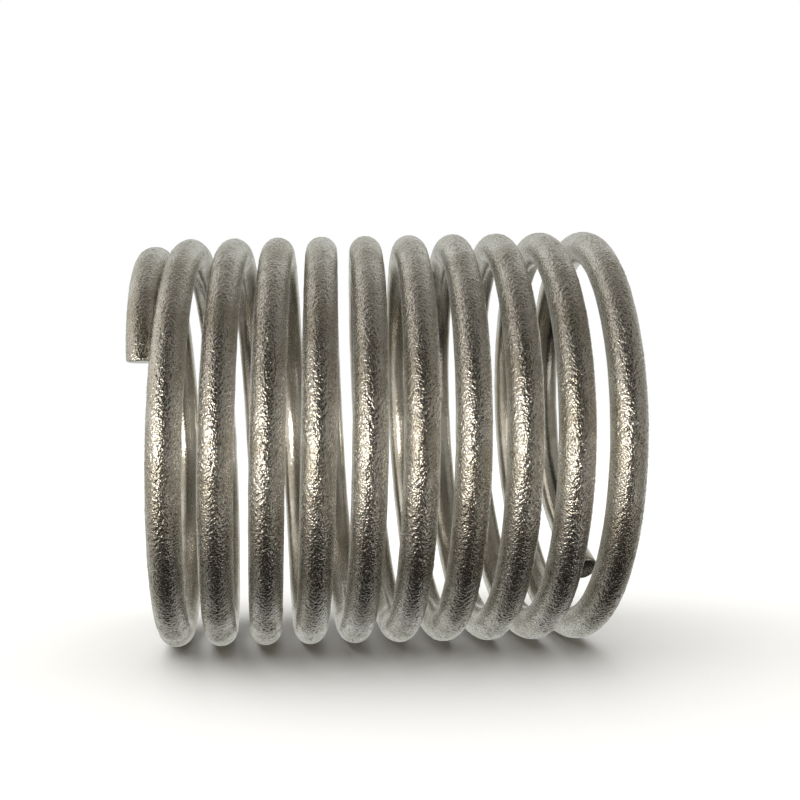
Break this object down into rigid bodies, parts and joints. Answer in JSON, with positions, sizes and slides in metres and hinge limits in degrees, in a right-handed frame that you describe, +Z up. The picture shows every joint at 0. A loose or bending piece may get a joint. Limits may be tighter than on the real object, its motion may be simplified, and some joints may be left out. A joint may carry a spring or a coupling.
{
  "type": "coil spring",
  "caption": "Open-wound helical coil of round bare wire, left-hand, with plain cut ends, for pushing back when squeezed along its axis.",
  "frame": {"origin": "under the middle of the coil, on the plane that the coil lies on, at the centre of the bounding box's bottom", "axes": "+X along the coil axis, from the closed end with the tucked tail towards the open end; +Y to the back; +Z up, with the coil lying on its side"},
  "size_m": [0.0956, 0.0794, 0.0795],
  "materials": {
    "spring_wire": "bare zinc-coated steel wire, silver grey with a fine hammered grain and drawn smooth flanks"
  },
  "bodies": {
    "left_end_coil": {"left_end_tail": "spring_wire", "turn_01_lower": "spring_wire", "turn_01_upper": "spring_wire"},
    "turn_02_lower": {"turn_02_lower": "spring_wire"},
    "turn_02_upper": {"turn_02_upper": "spring_wire"},
    "turn_03_lower": {"turn_03_lower": "spring_wire"},
    "turn_03_upper": {"turn_03_upper": "spring_wire"},
    "turn_04_lower": {"turn_04_lower": "spring_wire"},
    "turn_04_upper": {"turn_04_upper": "spring_wire"},
    "turn_05_lower": {"turn_05_lower": "spring_wire"},
    "turn_05_upper": {"turn_05_upper": "spring_wire"},
    "turn_06_lower": {"turn_06_lower": "spring_wire"},
    "turn_06_upper": {"turn_06_upper": "spring_wire"},
    "turn_07_lower": {"turn_07_lower": "spring_wire"},
    "turn_07_upper": {"turn_07_upper": "spring_wire"},
    "turn_08_lower": {"turn_08_lower": "spring_wire"},
    "turn_08_upper": {"turn_08_upper": "spring_wire"},
    "turn_09_lower": {"turn_09_lower": "spring_wire"},
    "turn_09_upper": {"turn_09_upper": "spring_wire"},
    "turn_10_lower": {"turn_10_lower": "spring_wire"},
    "turn_10_upper": {"turn_10_upper": "spring_wire"},
    "right_end_tail": {"right_end_tail": "spring_wire"}
  },
  "joints": [
    {"name": "coil_stroke", "type": "slide", "parent": "left_end_coil", "child": "turn_02_lower", "axis": [1, 0, 0], "range_m": [-0.001, 0.0015], "stiffness_N_per_m": 64500},
    {"name": "stroke_turn_02_upper", "type": "slide", "parent": "turn_02_lower", "child": "turn_02_upper", "axis": [1, 0, 0], "range_m": [-0.001, 0.0015], "stiffness_N_per_m": 64500},
    {"name": "stroke_turn_03_lower", "type": "slide", "parent": "turn_02_upper", "child": "turn_03_lower", "axis": [1, 0, 0], "range_m": [-0.001, 0.0015], "stiffness_N_per_m": 64500},
    {"name": "stroke_turn_03_upper", "type": "slide", "parent": "turn_03_lower", "child": "turn_03_upper", "axis": [1, 0, 0], "range_m": [-0.001, 0.0015], "stiffness_N_per_m": 64500},
    {"name": "stroke_turn_04_lower", "type": "slide", "parent": "turn_03_upper", "child": "turn_04_lower", "axis": [1, 0, 0], "range_m": [-0.001, 0.0015], "stiffness_N_per_m": 64500},
    {"name": "stroke_turn_04_upper", "type": "slide", "parent": "turn_04_lower", "child": "turn_04_upper", "axis": [1, 0, 0], "range_m": [-0.001, 0.0015], "stiffness_N_per_m": 64500},
    {"name": "stroke_turn_05_lower", "type": "slide", "parent": "turn_04_upper", "child": "turn_05_lower", "axis": [1, 0, 0], "range_m": [-0.001, 0.0015], "stiffness_N_per_m": 64500},
    {"name": "stroke_turn_05_upper", "type": "slide", "parent": "turn_05_lower", "child": "turn_05_upper", "axis": [1, 0, 0], "range_m": [-0.001, 0.0015], "stiffness_N_per_m": 64500},
    {"name": "stroke_turn_06_lower", "type": "slide", "parent": "turn_05_upper", "child": "turn_06_lower", "axis": [1, 0, 0], "range_m": [-0.001, 0.0015], "stiffness_N_per_m": 64500},
    {"name": "stroke_turn_06_upper", "type": "slide", "parent": "turn_06_lower", "child": "turn_06_upper", "axis": [1, 0, 0], "range_m": [-0.001, 0.0015], "stiffness_N_per_m": 64500},
    {"name": "stroke_turn_07_lower", "type": "slide", "parent": "turn_06_upper", "child": "turn_07_lower", "axis": [1, 0, 0], "range_m": [-0.001, 0.0015], "stiffness_N_per_m": 64500},
    {"name": "stroke_turn_07_upper", "type": "slide", "parent": "turn_07_lower", "child": "turn_07_upper", "axis": [1, 0, 0], "range_m": [-0.001, 0.0015], "stiffness_N_per_m": 64500},
    {"name": "stroke_turn_08_lower", "type": "slide", "parent": "turn_07_upper", "child": "turn_08_lower", "axis": [1, 0, 0], "range_m": [-0.001, 0.0015], "stiffness_N_per_m": 64500},
    {"name": "stroke_turn_08_upper", "type": "slide", "parent": "turn_08_lower", "child": "turn_08_upper", "axis": [1, 0, 0], "range_m": [-0.001, 0.0015], "stiffness_N_per_m": 64500},
    {"name": "stroke_turn_09_lower", "type": "slide", "parent": "turn_08_upper", "child": "turn_09_lower", "axis": [1, 0, 0], "range_m": [-0.001, 0.0015], "stiffness_N_per_m": 64500},
    {"name": "stroke_turn_09_upper", "type": "slide", "parent": "turn_09_lower", "child": "turn_09_upper", "axis": [1, 0, 0], "range_m": [-0.001, 0.0015], "stiffness_N_per_m": 64500},
    {"name": "stroke_turn_10_lower", "type": "slide", "parent": "turn_09_upper", "child": "turn_10_lower", "axis": [1, 0, 0], "range_m": [-0.001, 0.0015], "stiffness_N_per_m": 64500},
    {"name": "stroke_turn_10_upper", "type": "slide", "parent": "turn_10_lower", "child": "turn_10_upper", "axis": [1, 0, 0], "range_m": [-0.001, 0.0015], "stiffness_N_per_m": 64500},
    {"name": "stroke_right_end_tail", "type": "slide", "parent": "turn_10_upper", "child": "right_end_tail", "axis": [1, 0, 0], "range_m": [-0.00065, 0.00097], "stiffness_N_per_m": 99231}
  ],
  "couplings": [
    {"joint": "stroke_turn_02_upper", "follows": "coil_stroke", "ratio": 1},
    {"joint": "stroke_turn_03_lower", "follows": "coil_stroke", "ratio": 1},
    {"joint": "stroke_turn_03_upper", "follows": "coil_stroke", "ratio": 1},
    {"joint": "stroke_turn_04_lower", "follows": "coil_stroke", "ratio": 1},
    {"joint": "stroke_turn_04_upper", "follows": "coil_stroke", "ratio": 1},
    {"joint": "stroke_turn_05_lower", "follows": "coil_stroke", "ratio": 1},
    {"joint": "stroke_turn_05_upper", "follows": "coil_stroke", "ratio": 1},
    {"joint": "stroke_turn_06_lower", "follows": "coil_stroke", "ratio": 1},
    {"joint": "stroke_turn_06_upper", "follows": "coil_stroke", "ratio": 1},
    {"joint": "stroke_turn_07_lower", "follows": "coil_stroke", "ratio": 1},
    {"joint": "stroke_turn_07_upper", "follows": "coil_stroke", "ratio": 1},
    {"joint": "stroke_turn_08_lower", "follows": "coil_stroke", "ratio": 1},
    {"joint": "stroke_turn_08_upper", "follows": "coil_stroke", "ratio": 1},
    {"joint": "stroke_turn_09_lower", "follows": "coil_stroke", "ratio": 1},
    {"joint": "stroke_turn_09_upper", "follows": "coil_stroke", "ratio": 1},
    {"joint": "stroke_turn_10_lower", "follows": "coil_stroke", "ratio": 1},
    {"joint": "stroke_turn_10_upper", "follows": "coil_stroke", "ratio": 1},
    {"joint": "stroke_right_end_tail", "follows": "coil_stroke", "ratio": 0.65}
  ]
}
